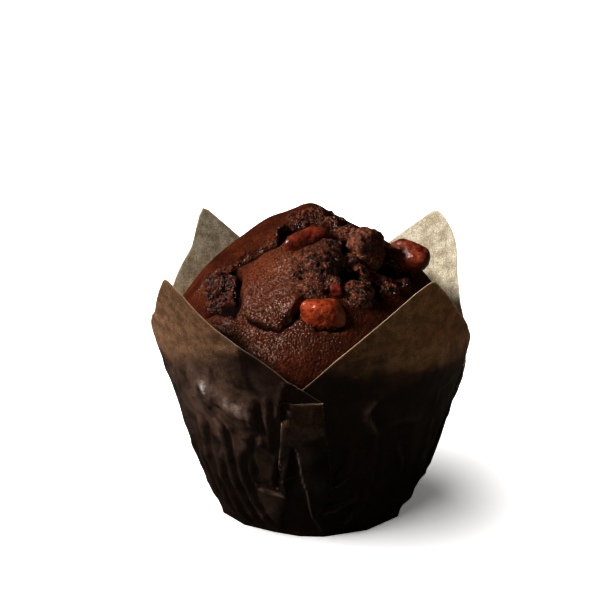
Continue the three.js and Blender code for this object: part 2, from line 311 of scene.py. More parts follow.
class Shader:
    """A small hand for wiring nodes in one material or group."""

    def __init__(self, tree):
        self.tree = tree

    def fill(self, node, values):
        """Gives a node's inputs their values, by a link where the value is another node's output."""
        for key, value in values.items():
            if isinstance(value, bpy.types.NodeSocket):
                self.tree.links.new(value, node.inputs[key])
            else:
                node.inputs[key].default_value = value

    def add(self, kind, values=None, **settings):
        made = self.tree.nodes.new(kind)
        for key, value in settings.items():
            setattr(made, key, value)
        self.fill(made, values or {})
        return made

    def math(self, operation, a, b=0.0, c=0.0, clamp=False):
        made = self.add("ShaderNodeMath", {0: a, 1: b, 2: c}, operation=operation, use_clamp=clamp)
        return made.outputs[0]

    def times(self, a, b):
        return self.math("MULTIPLY", a, b)

    def times_plus(self, a, b, c, clamp=False):
        """a times b, plus c."""
        return self.math("MULTIPLY_ADD", a, b, c, clamp)

    def mix(self, share, a, b, blend="MIX"):
        made = self.add("ShaderNodeMix", {0: share, 6: a, 7: b}, data_type="RGBA", blend_type=blend)
        return made.outputs[2]

    def dim(self, colour, amount, share=1.0):
        """A colour multiplied by a grey amount."""
        grey = self.add("ShaderNodeCombineColor", {0: amount, 1: amount, 2: amount}).outputs[0]
        return self.mix(share, colour, grey, "MULTIPLY")

    def span(self, value, low, high, to_low=0.0, to_high=1.0):
        """A smooth step from one pair of values to another."""
        values = {"Value": value, "From Min": low, "From Max": high, "To Min": to_low, "To Max": to_high}
        return self.add("ShaderNodeMapRange", values, interpolation_type="SMOOTHSTEP").outputs["Result"]

    def noise(self, vector, scale, detail=3.0, rough=0.55, distortion=0.0, output="Fac"):
        values = {"Vector": vector, "Scale": scale, "Detail": detail, "Roughness": rough}
        return self.add("ShaderNodeTexNoise", {**values, "Distortion": distortion}).outputs[output]

    def cells(self, vector, scale):
        return self.add("ShaderNodeTexVoronoi", {"Vector": vector, "Scale": scale}).outputs["Distance"]

    def bump(self, height, distance, strength=1.0):
        values = {"Strength": strength, "Distance": distance, "Height": height}
        return self.add("ShaderNodeBump", values).outputs["Normal"]

    def attribute(self, name):
        return self.add("ShaderNodeAttribute", attribute_name=name).outputs["Fac"]

    def place(self):
        return self.add("ShaderNodeTexCoord").outputs["Object"]

    def tone(self, vector, dark, light, scale, speck_scale, specks):
        """The colour of the shared group of two tones and dark specks."""
        values = [vector, rgb(*dark), rgb(*light), scale, speck_scale, specks]
        return self.add("ShaderNodeGroup", dict(enumerate(values)), node_tree=TONE).outputs["Color"]


def rgb(red, green, blue):
    return (red, green, blue, 1.0)


def start_material(name):
    """A new material with an empty tree but for its Principled shader and output."""
    material = bpy.data.materials.new(name)
    material.use_nodes = True
    tree = material.node_tree
    tree.nodes.clear()
    make = Shader(tree)
    surface = make.add("ShaderNodeBsdfPrincipled")
    make.add("ShaderNodeOutputMaterial", {"Surface": surface.outputs["BSDF"]})
    return material, make, surface


def make_tone_group():
    """Two tones mixed by a broad noise, and darker specks near the seeds of a fine cell pattern."""
    tree = bpy.data.node_groups.new("tone and specks", "ShaderNodeTree")
    kinds = {
        "Vector": "NodeSocketVector", "Dark": "NodeSocketColor", "Light": "NodeSocketColor",
        "Scale": "NodeSocketFloat", "Speck Scale": "NodeSocketFloat", "Specks": "NodeSocketFloat",
    }
    for key, kind in kinds.items():
        tree.interface.new_socket(key, in_out="INPUT", socket_type=kind)
    tree.interface.new_socket("Color", in_out="OUTPUT", socket_type="NodeSocketColor")
    make = Shader(tree)
    given = make.add("NodeGroupInput").outputs
    share = make.span(make.noise(given["Vector"], given["Scale"], 5.0, 0.6), 0.34, 0.66)
    toned = make.mix(share, given["Dark"], given["Light"])
    speck = make.span(make.cells(given["Vector"], given["Speck Scale"]), 0.12, 0.45, 1.0, 0.0)
    kept = make.math("SUBTRACT", 1.0, make.times(speck, given["Specks"]))
    make.add("NodeGroupOutput", {"Color": make.dim(toned, kept)})
    return tree


TONE = make_tone_group()


# ---- Materials ----

def crumb_material():
    """Baked chocolate crust: brown, fine-pored and satin; rough and open where it split, and darker there by
    painted shade in its hollows and grain gaps.
    """
    material, make, surface = start_material("baked crumb")
    place = make.place()
    rough = make.attribute("crumb")
    painted_shade = make.attribute("hollow_shade")
    sheen = make.attribute("gloss")
    pale = make.times(make.attribute("pale"), 0.8)
    crust = make.tone(place, (0.046, 0.0098, 0.0034), (0.1, 0.0228, 0.0078), 140.0, 1500.0, 0.5)
    inside = make.tone(place, (0.048, 0.0115, 0.0047), (0.31, 0.09, 0.039), 700.0, 1000.0, 0.75)

    bend = make.noise(place, 600.0, 2.0, 0.5, output="Color")
    bend = make.add("ShaderNodeVectorMath", {0: bend, 1: (0.0014, 0.0014, 0.0014)}, operation="MULTIPLY")
    bent = make.add("ShaderNodeVectorMath", {0: place, 1: bend.outputs[0]}, operation="ADD").outputs[0]
    # Painted shade in the dark gaps between the grains of open crumb; the same pattern also shapes the grains
    # in the bump.
    gaps = make.span(make.noise(bent, 760.0, 3.0, 0.6), 0.36, 0.5, 0.16, 1.0)
    fine_gaps = make.span(make.noise(place, 2300.0, 2.0, 0.6), 0.34, 0.52, 0.35, 1.0)
    openness = make.times(gaps, fine_gaps)
    gap_shaded_crumb = make.dim(inside, openness, 0.9)

    top = make.mix(make.times(sheen, 0.8), crust, rgb(0.108, 0.0265, 0.0082))
    top = make.mix(pale, top, rgb(0.165, 0.054, 0.025))
    speckle = make.span(make.noise(place, 1700.0, 2.0, 0.7), 0.3, 0.7, 0.55, 1.4)
    colour = make.mix(rough, make.dim(top, speckle), gap_shaded_crumb)
    # Painted shade: near black deep in the hollows and the split, and darker low on the crust by the paper
    # rim.
    colour = make.mix(make.span(painted_shade, 0.2, 1.5), colour, rgb(0.006, 0.002, 0.0012))

    spots = make.span(make.noise(place, 1700.0, 2.0, 0.6), 0.4, 0.52)
    fatty = make.math("MAXIMUM", sheen, rough)
    glaze = make.times(fatty, spots)
    glaze = make.times(glaze, make.span(painted_shade, 0.2, 1.0, 1.0, 0.0))

    patchy = make.span(make.noise(place, 300.0, 2.0), 0.35, 0.65, -0.35, -1.0)
    pebbles = make.times(make.math("POWER", make.cells(place, 1900.0), 2.0), patchy)
    height = make.times_plus(make.noise(place, 3300.0, 2.0, 0.6), 0.4, pebbles)
    height = make.times_plus(make.noise(place, 520.0, 2.0, 0.5), 0.9, height)
    height = make.times_plus(openness, make.times(rough, 0.9), height)
    relief = make.bump(height, make.times_plus(fatty, 0.00022, 0.00024))
    make.fill(surface, {
        "Base Color": colour,
        "Roughness": make.times_plus(glaze, -0.3, 0.86, clamp=True),
        "Normal": relief,
        "Coat Weight": glaze,
        "Coat Normal": relief,
        "Coat Roughness": 0.17,
        "Coat IOR": 1.68,
        "Specular IOR Level": 0.07,
    })
    return material


def paper_material():
    """Greaseproof paper: fibrous brown outside, cream inside, near black and glossy where fat soaked in,
    grey-brown and partly a painted sheen where it half soaked in, pale at the cut rim, and with painted
    highlights along fold edges.
    """
    material, make, surface = start_material("tulip paper")
    place = make.place()
    inner = make.attribute("inner")
    soak = make.attribute("soak")
    cut_edge_and_fold_highlight = make.attribute("cut_edge_and_fold_highlight")
    matt = make.attribute("matt")
    blotch = make.noise(place, 260.0, 4.0, 0.6)
    soaked = make.span(make.times_plus(blotch, 0.8, soak), 0.55, 1.2)
    outer_dry = make.tone(place, (0.115, 0.061, 0.031), (0.22, 0.125, 0.068), 420.0, 2300.0, 0.25)
    outer_wet = make.tone(place, (0.006, 0.0018, 0.0012), (0.02, 0.0075, 0.0048), 170.0, 1400.0, 0.3)
    inner_dry = make.tone(place, (0.33, 0.295, 0.225), (0.54, 0.51, 0.43), 300.0, 1700.0, 0.22)

    # Grey-brown half-soaked patches, partly a painted sheen on the wet paper.
    half = make.times(make.attribute("half"), make.span(blotch, 0.3, 0.62))
    wet = make.mix(half, outer_wet, rgb(0.135, 0.086, 0.067))
    outside = make.mix(soaked, outer_dry, wet)
    inside = make.mix(make.span(soak, 0.35, 0.95), inner_dry, rgb(0.11, 0.06, 0.03))
    grain = make.span(make.noise(place, 3000.0, 2.0, 0.7), 0.3, 0.7, 0.62, 1.3)
    colour = make.dim(make.mix(inner, outside, inside), grain)
    # Paler at the cut rim, and painted highlights along the fold edges.
    colour = make.mix(make.times(cut_edge_and_fold_highlight, 0.45), colour, rgb(0.36, 0.26, 0.17))

    dull = make.times_plus(soaked, -0.6, 0.86)
    dull = make.times_plus(make.math("MAXIMUM", cut_edge_and_fold_highlight, matt), 0.5, dull)
    fibres = make.noise(place, 2400.0, 4.0, 0.7)
    height = make.times_plus(fibres, 0.35, make.noise(place, 330.0, 3.0, 0.5, 0.6))
    make.fill(surface, {
        "Base Color": colour,
        "Roughness": make.times_plus(make.noise(place, 900.0, 2.0), 0.14, dull, clamp=True),
        "Normal": make.bump(height, 0.0004, 0.5),
        "Specular IOR Level": 0.5,
        "Subsurface Weight": 0.5,
        "Subsurface Radius": (1.0, 0.9, 0.75),
        "Subsurface Scale": 0.0009,
    })
    return material


def nut_material(name, skin_dark, skin_light, flesh, gloss, polish):
    """Toasted nut: streaked red-brown skin, paler flesh where it is broken, and crumb baked onto it."""
    material, make, surface = start_material(name)
    place = make.place()
    broken = make.attribute("broken")
    coat = make.attribute("coat")
    skin = make.tone(place, skin_dark, skin_light, 480.0, 1300.0, 0.6)
    crumbs = make.tone(place, (0.06, 0.016, 0.0075), (0.3, 0.095, 0.046), 600.0, 1000.0, 0.8)
    colour = make.mix(coat, make.mix(broken, skin, rgb(*flesh)), crumbs)
    fine = make.noise(place, 1700.0, 4.0, 0.65)
    height = make.times_plus(make.noise(place, 620.0, 2.0, 0.5, 1.0), 1.2, fine)
    relief = make.bump(height, make.times_plus(coat, 0.0005, 0.00012), 0.8)
    shine = make.span(make.noise(place, 420.0, 3.0), 0.3, 0.55)
    make.fill(surface, {
        "Base Color": colour,
        "Roughness": make.times_plus(coat, 0.2, make.times_plus(fine, 0.32, gloss), clamp=True),
        "Normal": relief,
        "Coat Weight": make.times(shine, make.times_plus(coat, -0.35 * polish, 0.95 * polish)),
        "Coat Normal": relief,
        "Coat Roughness": 0.14,
        "Specular IOR Level": 0.3,
    })
    return material


def chocolate_material():
    """Dark chocolate, softened in the oven: nearly black, satin, with crumb dust and small pits."""
    material, make, surface = start_material("dark chocolate")
    place = make.place()
    fine = make.noise(place, 1500.0, 4.0, 0.65)
    relief = make.bump(make.times_plus(make.cells(place, 1500.0), -0.9, fine), 0.0006, 0.9)
    make.fill(surface, {
        "Base Color": make.tone(place, (0.016, 0.0036, 0.002), (0.125, 0.024, 0.0095), 700.0, 1300.0, 0.7),
        "Roughness": make.times_plus(fine, 0.4, 0.16),
        "Normal": relief,
        "Coat Weight": make.span(make.noise(place, 1100.0, 3.0), 0.44, 0.6, 0.0, 0.7),
        "Coat Normal": relief,
        "Coat Roughness": 0.2,
        "Coat IOR": 1.7,
        "Specular IOR Level": 0.3,
    })
    return material


def floor_material():
    """Plain pale floor with a faint grain. It sends little light back up, as a shaded table does."""
    material, make, surface = start_material("pale floor")
    grain = make.noise(make.place(), 12.0)
    seen = make.add("ShaderNodeLightPath").outputs["Is Camera Ray"]
    white = make.mix(grain, rgb(1.85, 1.85, 1.85), rgb(1.9, 1.9, 1.9))
    make.fill(surface, {
        "Base Color": make.mix(seen, rgb(0.12, 0.095, 0.07), white),
        "Emission Color": rgb(1.0, 1.0, 1.0),
        "Emission Strength": make.times(seen, FLOOR_GLOW),
        "Roughness": 0.9,
        "Specular IOR Level": 0.0,
    })
    return material


# ---- The paper cup ----

def base_outline(azimuth):
    """Distance from the centre to the straight side of the creased base: where a ray meets each chord."""
    turns = (azimuth - BASE_CORNERS[0][0]) % 360.0
    starts = np.array([(corner[0] - BASE_CORNERS[0][0]) % 360.0 for corner in BASE_CORNERS])
    radii = np.array([corner[1] for corner in BASE_CORNERS])
    at = np.searchsorted(starts, turns, side="right") - 1
    following = (at + 1) % len(starts)
    span = (starts[following] - starts[at]) % 360.0
    near = np.radians(turns - starts[at])
    far = np.radians(span) - near
    top = radii[at] * radii[following] * np.sin(near + far)
    return top / (radii[at] * np.sin(near) + radii[following] * np.sin(far))


def cup_radius(azimuth, slant):
    """The leaning wall, drawn in to the creased outline near the table."""
    fade = np.clip(1.0 - slant / BASE_CREASE_HEIGHT, 0.0, 1.0) ** 2
    return BASE_RADIUS + slant * np.sin(LEAN) - fade * (BASE_RADIUS - base_outline(azimuth))


def petal_edge(petal, azimuth):
    """Slant height of a petal's edge: straight between its points, and rounded a little at each of them."""
    points = np.array(petal)
    middle = 0.5 * (points[0, 0] + points[-1, 0])
    near = turn_from(middle, azimuth) + middle
    shifts = TIP_ROUNDING * np.array([-1.0, -0.5, 0.0, 0.5, 1.0])
    height = np.mean([np.interp(near + shift, points[:, 0], points[:, 1]) for shift in shifts], axis=0)
    return np.maximum(height, FOLD_TOP)


def flap_half_width(slant):
    """Half the width of a pleat's flap: widest low down, narrower at the top, closing to a point."""
    up = np.clip((slant - FLAP_WIDEST_AT) / (FOLD_TOP - FLAP_WIDEST_AT), 0.0, 1.0)
    down = np.clip((slant - FLAP_POINT_AT) / (FLAP_WIDEST_AT - FLAP_POINT_AT), 0.0, 1.0)
    upper = FLAP_WIDEST_HALF + (FLAP_TOP_HALF - FLAP_WIDEST_HALF) * up
    lower = FLAP_POINT_HALF + (FLAP_WIDEST_HALF - FLAP_POINT_HALF) * down
    return np.where(slant > FLAP_WIDEST_AT, upper, lower)


def flap_middle(slant):
    """Sideways drift of the flap's middle from the pleat's line, in millimetres."""
    down = np.clip((FLAP_WIDEST_AT - slant) / (FLAP_WIDEST_AT - FLAP_POINT_AT), 0.0, 1.0)
    return np.where(slant > FLAP_WIDEST_AT, -0.2, -0.2 + 2.0 * down)


def sheet_columns():
    """The sheet's columns in order round the cup: each one's pleat, strip and share along the strip."""
    columns = []
    for i, (_, _, _, flap_count, return_count, _) in enumerate(PLEATS):
        strips = [("first return", return_count), ("flap", flap_count), ("second return", return_count)]
        for strip, count in strips:
            columns += [(i, strip, k / count) for k in range(count)]
        count = PANEL_COLUMNS[i]
        columns += [(i, "panel", k / count) for k in range(count)]
    return columns


def sheet_layout(rows):
    """Azimuth, slant and layer of each grid point, and each column's strip and top. At a pleat the sheet
    turns back under the flap, runs across the flap and turns back again, in three straight strips."""
    columns = sheet_columns()
    column = np.arange(len(columns))
    pleat = np.array([c[0] for c in columns])
    strip = np.array([("first return", "flap", "second return", "panel").index(c[1]) for c in columns])
    share = np.array([c[2] for c in columns])
    centre = np.array([p[0] for p in PLEATS])[pleat]
    width = np.array([p[1] for p in PLEATS])[pleat]
    order = np.array([p[2] for p in PLEATS])
    following = (pleat + 1) % len(PLEATS)
    next_centre = centre + (np.array([p[0] for p in PLEATS])[following] - centre) % 360.0
    next_width = np.array([p[1] for p in PLEATS])[following]
    top = np.full(len(columns), FOLD_TOP)
    flap_top = np.array([p[5] for p in PLEATS])[pleat]
    level = np.linspace(0.0, 1.0, rows)
    for _ in range(3):  # the top depends on the azimuth, and the azimuth on the slant
        slant = top[:, None] * level[None, :]
        per_degree = mm_per_degree(slant)
        half, middle = flap_half_width(slant), flap_middle(slant)
        turned = 0.75 + 0.22 * ease(34.0, FOLD_TOP, slant)
        wide, narrow = half * width[:, None], turned * half * width[:, None]
        strips = [strip[:, None] == kind for kind in range(3)]
        across_from = np.select(strips, [narrow, -wide, wide], -narrow)
        across_to = np.select(strips, [-wide, wide, -narrow], 0.0)
        across = middle + across_from + (across_to - across_from) * share[:, None]
        inside = centre[:, None] + across / per_degree
        panel_from = centre[:, None] + (middle - narrow) / per_degree
        panel_to = next_centre[:, None] + (middle + turned * half * next_width[:, None]) / per_degree
        panel = panel_from + (panel_to - panel_from) * share[:, None]
        is_panel = (strip == 3)[:, None]
        azimuth = np.where(is_panel, panel, inside)
        at_top = azimuth[:, -1]
        edges = np.array([petal_edge(petal, at_top) for petal in PETALS])
        own, before = edges[pleat, column], edges[pleat - 1, column]
        tucked = FOLD_TOP - TUCK
        first_top = tucked + (before - tucked) * (1.0 - ease(0.0, 0.16, share))
        second_top = tucked + (own - tucked) * ease(0.84, 1.0, share)
        second_top = second_top + (flap_top - tucked) * ease(0.16, 0.0, share)
        top = np.select([strip == 0, strip == 1, strip == 2], [first_top, flap_top, second_top], own)
    from_start = (azimuth - panel_from) * per_degree
    from_end = (panel_to - azimuth) * per_degree
    overlap = 1.8 * wide
    held_start = 1.0 - ease(0.0, 9.0, from_start - overlap)
    held_end = 1.0 - ease(0.0, 9.0, from_end - overlap)
    first, last = order[pleat, 4][:, None], order[following, 0][:, None]
    panel_layer = np.maximum(first * held_start, last * held_end)
    strip_layer = np.where(strip < 3, order[pleat, np.minimum(strip + 1, 4)], 0)
    layer = np.where(is_panel, panel_layer, strip_layer[:, None].astype(float))
    turning = np.roll(strip, 1) != strip  # the first column of a strip is where the sheet turns over
    previous = np.roll(layer, 1, axis=0)
    layer = np.where(turning[:, None], 0.5 * (layer + previous), layer)
    return azimuth, slant, layer, strip, top


def mm_per_degree(slant):
    """Millimetres along the wall for each degree of azimuth."""
    return np.radians(BASE_RADIUS + slant * np.sin(LEAN))


def cup_path(azimuth, slant, path):
    """path_distance on the unrolled wall, for a path given as azimuths and slant heights."""
    scale = mm_per_degree(np.mean([up for _, up in path]))
    start = path[0][0]
    flat = [(turn_from(start, at) * scale, up) for at, up in path]
    return path_distance(turn_from(start, azimuth) * scale, slant, flat)


def end_fade(along, path, share):
    """1 along the middle of a path, fading to 0 over the given share of its first and last piece."""
    return ease(0.0, share, along) * ease(0.0, share, len(path) - 1 - along)


def ridge(azimuth, slant, path, height, width, sharp=False):
    """A raised line along a path: a smooth or a sharp-topped bank, fading towards the path's two ends."""
    distance, along = cup_path(azimuth, slant, path)
    reach = np.abs(distance) / width
    bank = np.exp(-1.4 * reach) if sharp else np.exp(-reach * reach)
    if sharp:  # a shallow valley lies along one side of a sharp crease
        bank = bank - 0.45 * np.exp(-((distance / width - 1.7) ** 2))
    return height * end_fade(along, path, 0.35) * bank


def step(azimuth, slant, path, height, soft, reach):
    """A fold's edge: high on the left of the path, dropping at it, and fading out over its reach."""
    distance, along = cup_path(azimuth, slant, path)
    bank = ease(-soft, soft, distance) * np.exp(-np.maximum(distance, 0.0) / reach)
    return height * end_fade(along, path, 0.3) * bank


def dent(azimuth, slant, at, height, across, up):
    """A soft round swelling, or a dent where its height is negative."""
    turn = turn_from(at[0], azimuth) * mm_per_degree(at[1])
    return height * np.exp(-((turn / across) ** 2) - ((slant - at[1]) / up) ** 2)


# Gathers of the front left panel: path as azimuths and slant heights, and height.
GATHERS = [
    ([(-156.5, 24.0), (-155.0, 15.0), (-151.0, 4.0)], 0.8),
    ([(-146.0, 27.0), (-149.0, 17.0), (-147.0, 5.0)], 1.0),
    ([(-139.5, 34.0), (-142.6, 20.1), (-139.0, 7.0), (-133.0, 0.5)], 1.5),
    ([(-131.6, 26.0), (-135.4, 15.9), (-131.8, 7.3), (-127.2, 0.5)], 1.6),
    ([(-128.0, 36.0), (-128.0, 23.1), (-127.4, 13.3), (-120.0, 1.5)], 1.9),
    ([(-119.6, 28.5), (-123.2, 19.0), (-119.8, 11.4), (-113.4, 3.0)], 1.8),
    ([(-115.4, 33.0), (-118.6, 25.6), (-117.0, 17.0)], 1.2),
]
# The open fold of the front flap, and the pocket beside it.
BRIGHT_FOLD = [(-97.1, 29.3), (-95.8, 27.2), (-94.5, 20.3), (-92.4, 14.9), (-90.1, 7.5), (-83.6, 0.5)]
GROOVE_LEFT = [(-97.3, 29.6), (-98.8, 24.3), (-101.6, 18.6), (-101.4, 13.3), (-104.5, 8.0), (-108.6, 0.5)]
POCKET = [(-117.0, 16.8), (-115.5, 14.4), (-109.8, 14.0), (-101.4, 13.3)]

# Two fold edges high on the front left petal.
TURNED_EDGE = [(-111.4, 45.5), (-113.4, 50.1), (-112.7, 54.2), (-114.2, 58.0)]
UPPER_BEND = [(-134.0, 55.5), (-145.0, 59.0), (-160.0, 58.4)]

# Single creases: path, height, width, and whether the top is sharp.
CREASES = [
    ([(-136.0, 45.0), (-126.0, 41.5), (-119.5, 39.4), (-112.6, 38.0)], 1.1, 1.3, True),
    ([(-113.0, 39.4), (-111.0, 35.0), (-109.6, 27.0)], 1.2, 1.0, True),
    ([(-139.0, 48.0), (-131.0, 44.5), (-124.0, 40.0)], 0.8, 1.4, False),
    ([(-134.0, 40.0), (-127.0, 36.5), (-121.0, 31.0)], 0.7, 1.0, True),
    ([(-109.1, 43.0), (-109.8, 36.3), (-111.3, 29.5)], -1.0, 0.9, False),
    ([(-106.0, 45.0), (-106.4, 36.3), (-107.4, 26.0)], 1.1, 1.1, True),
    ([(-98.6, 49.0), (-100.4, 45.5), (-101.8, 42.3), (-103.2, 37.0)], 1.7, 0.9, True),
    ([(-104.8, 27.0), (-107.2, 20.0), (-108.0, 15.5)], 0.8, 0.9, True),
    ([(-67.0, 43.5), (-70.6, 39.7), (-69.7, 36.3), (-64.6, 31.0)], 1.9, 1.0, True),
    ([(-64.2, 32.0), (-62.7, 17.0), (-65.0, 9.3), (-69.6, 3.0)], 1.2, 0.7, True),
    ([(-61.0, 33.6), (-52.0, 34.3), (-42.0, 32.0)], 0.6, 1.6, False),
    ([(-80.5, 16.8), (-77.3, 17.7), (-73.0, 19.4)], 1.0, 0.6, True),
    ([(-80.0, 16.0), (-73.6, 21.6), (-72.3, 28.0)], 0.9, 0.8, True),
    ([(-86.0, 8.0), (-77.5, 9.4), (-67.0, 11.6)], 0.9, 0.6, True),
    ([(-74.0, 3.0), (-71.0, 5.6), (-66.0, 8.6)], 0.7, 0.5, True),
    ([(-54.0, 27.0), (-47.0, 20.0), (-46.0, 6.0)], 0.9, 0.8, True),
    ([(-36.0, 41.0), (-34.0, 28.0), (-30.0, 12.0)], 0.7, 1.3, True),
    ([(-44.0, 60.0), (-40.0, 52.0), (-41.0, 44.0)], 0.5, 1.5, False),
    ([(-62.0, 62.0), (-66.0, 54.0), (-64.0, 46.0)], 0.4, 1.8, False),
]

# Painted highlights along fold edges, light lines where the edges catch the light: path, half width and
# strength.
FOLD_HIGHLIGHTS = [
    (BRIGHT_FOLD, 0.16, 0.55),
    (POCKET, 0.16, 0.45),
    ([(-104.4, 18.0), (-101.1, 19.2), (-97.6, 19.5)], 0.2, 0.6),
    ([(-101.2, 13.3), (-103.0, 10.0), (-104.4, 8.0)], 0.2, 0.35),
    ([(-80.8, 15.0), (-82.4, 12.0), (-88.4, 7.7)], 0.2, 0.4),
    ([(-80.5, 16.6), (-77.3, 17.5), (-73.0, 19.2)], 0.22, 0.75),
    ([(-86.0, 8.0), (-77.5, 9.4), (-67.0, 11.6)], 0.18, 0.3),
    ([(-73.6, 4.0), (-71.2, 5.4), (-69.2, 6.6)], 0.25, 0.5),
    ([(-66.8, 42.5), (-70.4, 39.7), (-69.5, 36.3), (-66.4, 32.0)], 0.6, 0.4),
    ([(-61.0, 33.6), (-52.0, 34.3), (-45.0, 33.0)], 0.7, 0.3),
    ([(-65.0, 32.0), (-63.2, 24.0), (-62.7, 17.0), (-65.0, 9.3)], 0.16, 0.25),
]


def front_relief(azimuth, slant):
    """The creases that show on the front of the cup, each given as azimuth and slant height."""
    relief = np.zeros_like(slant)
    for path, height in GATHERS:
        relief += ridge(azimuth, slant, path, 0.55 * height, 1.5)
        beside = [(at + 3.0, up) for at, up in path]
        relief += ridge(azimuth, slant, beside, -0.45 * height, 0.6)
    for path, height, width, sharp in CREASES:
        relief += ridge(azimuth, slant, path, 1.2 * height, width, sharp)
    relief += dent(azimuth, slant, (-118.5, 37.5), 1.9, 7.0, 5.0)
    relief += dent(azimuth, slant, (-132.0, 41.5), 0.9, 5.0, 3.5)
    relief += step(azimuth, slant, TURNED_EDGE, 0.7, 0.3, 7.0)
    relief += step(azimuth, slant, UPPER_BEND, 0.55, 0.9, 6.0)
    relief -= step(azimuth, slant, POCKET, 0.9, 0.25, 4.0)
    relief += dent(azimuth, slant, (-109.0, 8.0), 0.7, 5.0, 6.0)
    return relief


def fold_highlight_share(azimuth, slant):
    """Painted highlights: narrow light lines along the sharpest fold edges, where they catch the light."""
    share = np.zeros_like(slant)
    for path, width, strength in FOLD_HIGHLIGHTS:
        distance, along = cup_path(azimuth, slant, path)
        line = strength * end_fade(along, path, 0.25) * np.exp(-((distance / width) ** 2))
        share = np.maximum(share, line)
    return share


def groove_share(azimuth, slant):
    """1 inside the open groove of the front flap, sharp at its bright right edge and softer on its left."""
    right, _ = cup_path(azimuth, slant, BRIGHT_FOLD)
    left, _ = cup_path(azimuth, slant, GROOVE_LEFT)
    soft_left = 0.25 + 1.2 * ease(12.0, 22.0, slant)
    near = np.abs(turn_from(-95.0, azimuth)) < 22.0
    inside = ease(0.0, 0.5, -right) * ease(-soft_left * 0.5, soft_left, left)
    return np.where(near, inside * (1.0 - ease(28.2, 29.8, slant)), 0.0)


def cup_relief(azimuth, slant):
    """How far the sheet stands off the plain cone: placed creases, soft dents and random small creases."""
    angle = np.radians(azimuth)
    radius = BASE_RADIUS + slant * np.sin(LEAN)
    points = np.stack([radius * np.cos(angle), radius * np.sin(angle), slant], -1).reshape(-1, 3)

    def noise(cell, seed, stretch=1.0):
        return lattice_noise(points * (1.0, 1.0, stretch), cell, seed).reshape(slant.shape)

    free = ease(46.0, 56.0, slant)
    soft = 0.42 * noise(9.0, 3) + 0.2 * noise(4.2, 4)
    folded = 1.0 - np.abs(noise(6.0, 5, 0.6))
    sharp = 0.5 * np.clip(folded - 0.55, 0.0, 1.0) ** 1.5
    relief = (0.75 + soft + 1.6 * sharp) * ((1.0 - free) * ease(0.0, 6.0, slant))
    relief += front_relief(azimuth, slant)
    warp = 1.4 * noise(26.0, 6) + 0.35 * noise(8.0, 7)
    relief += free * warp * ease(0.0, 14.0, slant - 48.0)
    relief += random_creases(azimuth, slant)
    relief += back_gathers(azimuth, slant)
    return relief


def random_creases(azimuth, slant):
    """Short straight creases of random place, slope and height all round the wall."""
    random = np.random.default_rng(21)
    relief = np.zeros_like(slant)
    for _ in range(46):
        middle, height_at = random.uniform(-180.0, 180.0), random.uniform(5.0, 62.0)
        slope, length = random.uniform(-1.3, 1.3), random.uniform(4.0, 11.0)
        rise = random.uniform(0.12, 0.34) * (0.5 if height_at > 48.0 else 1.0)
        lean_out = np.array([length * np.sin(slope) / mm_per_degree(height_at), length * np.cos(slope)])
        ends = [(middle - lean_out[0] / 2, height_at - lean_out[1] / 2),
                (middle + lean_out[0] / 2, height_at + lean_out[1] / 2)]
        distance, along = cup_path(azimuth, slant, ends)
        relief += rise * end_fade(along, ends, 0.4) * np.exp(-np.abs(distance) / 0.55)
    return relief


def back_gathers(azimuth, slant):
    """Gathers beside the three other pleats, like the ones at the front left."""
    relief = np.zeros_like(slant)
    random = np.random.default_rng(5)
    for middle in (60.0, 112.0, 150.0, -168.0, 18.0, -28.0):
        for offset in (-8.0, -2.0, 4.0, 10.0):
            start = middle + offset + random.uniform(-1.5, 1.5)
            drift = random.uniform(-4.0, 4.0)
            high = random.uniform(24.0, 38.0)
            path = [(start, high), (start + 0.4 * drift, 0.5 * high), (start + drift, 1.0)]
            relief += ridge(azimuth, slant, path, random.uniform(0.35, 0.8), 1.3, sharp=True)
    return relief


